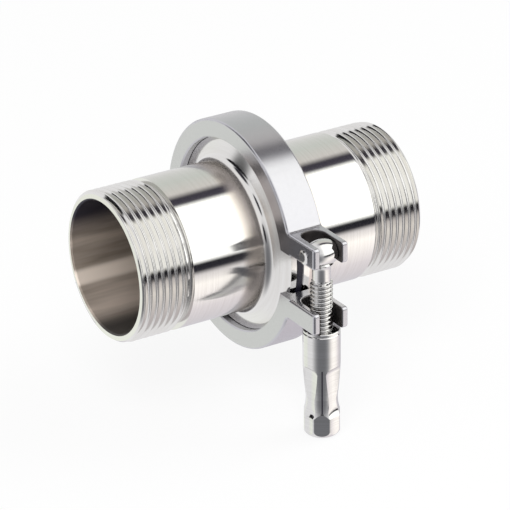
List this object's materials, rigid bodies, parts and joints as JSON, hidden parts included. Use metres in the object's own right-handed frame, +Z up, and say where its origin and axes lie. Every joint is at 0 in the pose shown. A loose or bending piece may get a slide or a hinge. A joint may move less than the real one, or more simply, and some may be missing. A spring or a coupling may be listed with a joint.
{
  "type": "sanitary clamp union with male threaded ends",
  "caption": "Two male threaded stainless ferrules joined face to face over a gasket by a hinged clamp ring with a swing bolt and a long grip nut.",
  "frame": {"origin": "on the pipe's axis, in the middle of the gasket", "axes": "+X along the pipe towards the far end, +Z up along the swing bolt from nut to eye, -Y towards the bolt side of the clamp"},
  "size_m": [0.1004, 0.0948, 0.088],
  "materials": {
    "ferrule_steel": "turned and mirror polished stainless steel",
    "clamp_steel": "cast and polished stainless steel",
    "fastener_steel": "polished stainless steel",
    "gasket_rubber": "smooth black EPDM"
  },
  "bodies": {
    "line": {"near_adapter": "ferrule_steel", "far_adapter": "ferrule_steel", "gasket": "gasket_rubber", "lower_clamp_half": "clamp_steel", "hinge_pin": "fastener_steel"},
    "upper_half": {"upper_clamp_half": "clamp_steel", "bolt_pin": "fastener_steel"},
    "bolt": {"swing_bolt": "fastener_steel"},
    "washer": {"nut_washer": "fastener_steel"},
    "nut": {"grip_nut": "fastener_steel"}
  },
  "joints": [
    {"name": "clamp_open", "type": "hinge", "parent": "line", "child": "upper_half", "pos_m": [0, 0.041, 0], "axis": [-1, 0, 0], "range_deg": [0, 8]},
    {"name": "bolt_swing", "type": "hinge", "parent": "upper_half", "child": "bolt", "pos_m": [0, -0.0436, 0.009], "axis": [-1, 0, 0], "range_deg": [0, 95]},
    {"name": "nut_travel", "type": "slide", "parent": "bolt", "child": "washer", "axis": [0, 0, -1], "range_m": [0, 0.0125]},
    {"name": "nut_spin", "type": "hinge", "parent": "washer", "child": "nut", "pos_m": [0, -0.0436, -0.0168], "axis": [0, 0, -1], "range_deg": [0, 3340]}
  ],
  "couplings": [
    {"joint": "nut_spin", "follows": "nut_travel", "rad_per_m": 4654.2},
    {"joint": "clamp_open", "follows": "nut_travel", "rad_per_m": 11.05}
  ]
}
